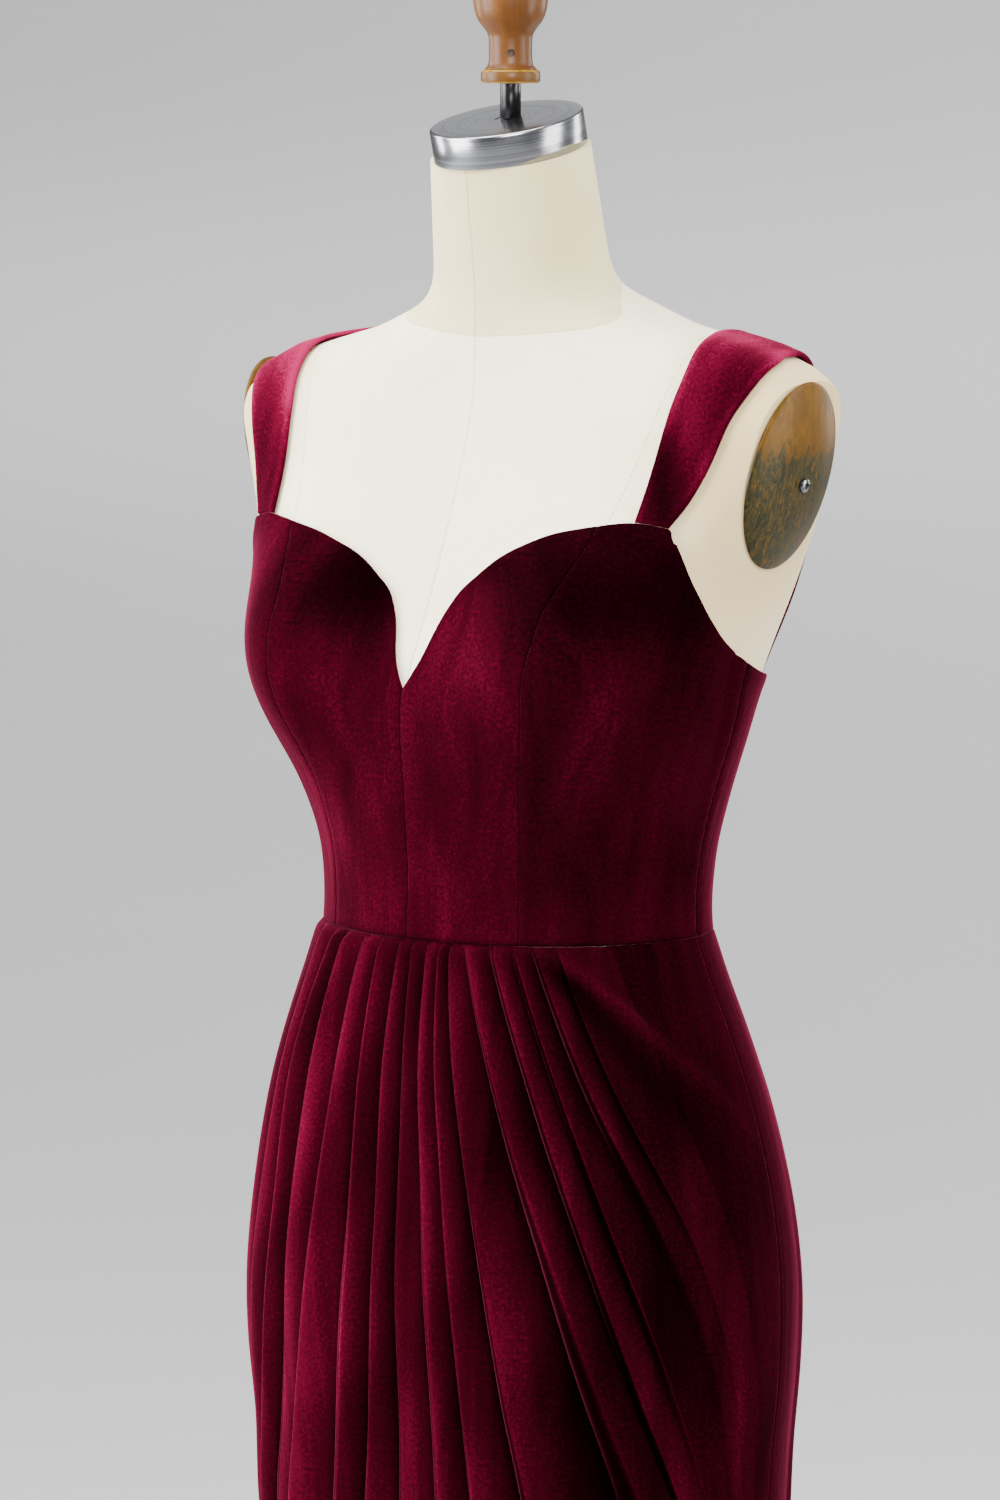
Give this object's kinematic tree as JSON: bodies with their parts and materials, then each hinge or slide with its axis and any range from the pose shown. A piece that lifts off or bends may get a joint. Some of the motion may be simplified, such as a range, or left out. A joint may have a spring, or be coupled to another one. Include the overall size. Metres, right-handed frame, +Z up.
{
  "type": "mermaid dress on a dress form",
  "caption": "Floor-length velvet mermaid dress with a sweetheart neckline, wide straps, a gathered and draped skirt and a flared hem, worn by a limbless dress form on a pole stand.",
  "frame": {"origin": "centre of the stand base's flat underside, on the floor", "axes": "+Z up, the front faces -Y, the wearer's left is +X"},
  "size_m": [0.7429, 0.6921, 1.6243],
  "materials": {
    "velvet": "burgundy velvet with a soft sheen on raking surfaces",
    "form_cover": "smooth off-white linen cover",
    "slider": "lacquered to match the cloth",
    "arm_plate": "aged brass with a dark scratched patina",
    "screw": "small bright screw",
    "neck_cap": "turned and brushed steel",
    "rod": "black",
    "finial": "varnished caramel-brown turned wood",
    "stand": "satin black"
  },
  "bodies": {
    "root": {"bodice_front_left": "velvet", "bodice_front_right": "velvet", "bodice_side_left": "velvet", "bodice_side_right": "velvet", "bodice_back_left": "velvet", "bodice_back_right": "velvet", "strap_left": "velvet", "strap_right": "velvet", "skirt_front": "velvet", "skirt_back_left": "velvet", "skirt_back_right": "velvet", "zip_slider": "slider", "form_body": "form_cover", "arm_plate_left": "arm_plate", "arm_plate_right": "arm_plate", "plate_screw_left": "screw", "plate_screw_right": "screw", "neck_cap": "neck_cap", "neck_rod": "rod", "finial": "finial", "pole_collar": "stand", "stand_pole": "stand", "stand_base": "stand"}
  },
  "joints": []
}
